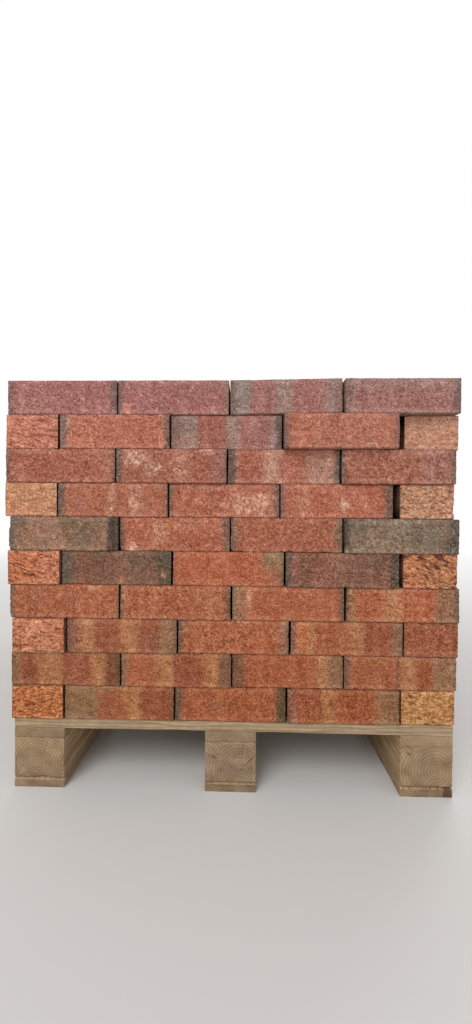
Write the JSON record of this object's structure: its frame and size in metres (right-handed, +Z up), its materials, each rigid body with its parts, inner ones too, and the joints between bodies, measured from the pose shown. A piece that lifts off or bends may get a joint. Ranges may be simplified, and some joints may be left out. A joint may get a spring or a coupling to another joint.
{
  "type": "pallet of bricks",
  "caption": "Pack of rustic multi-colour facing bricks, laid dry in bonded courses on a timber block pallet that forks can enter from every side.",
  "frame": {"origin": "on the floor, under the middle of the pack's bounding box", "axes": "+X to the right along the front face, +Y from the front to the back, +Z up"},
  "size_m": [0.8834, 1.1066, 0.8015],
  "materials": {
    "brick": "fired clay, rustic sanded and dragged faces, from orange red to plum, with grey buff flashed bands and dark ends",
    "pallet_timber": "rough sawn softwood, weathered, nailed"
  },
  "bodies": {
    "root": {"block_back_centre": "pallet_timber", "block_back_left": "pallet_timber", "block_back_right": "pallet_timber", "block_front_centre": "pallet_timber", "block_front_left": "pallet_timber", "block_front_right": "pallet_timber", "block_middle_centre": "pallet_timber", "block_middle_left": "pallet_timber", "block_middle_right": "pallet_timber", "course_01": "brick", "course_02": "brick", "course_03": "brick", "course_04": "brick", "course_05": "brick", "course_06": "brick", "course_07": "brick", "course_08": "brick", "course_09": "brick", "course_10": "brick", "deck_board_1": "pallet_timber", "deck_board_2": "pallet_timber", "deck_board_3": "pallet_timber", "deck_board_4": "pallet_timber", "deck_board_5": "pallet_timber", "deck_board_6": "pallet_timber", "deck_board_7": "pallet_timber", "skid_centre": "pallet_timber", "skid_left": "pallet_timber", "skid_right": "pallet_timber", "stringer_board_centre": "pallet_timber", "stringer_board_left": "pallet_timber", "stringer_board_right": "pallet_timber"}
  },
  "joints": []
}
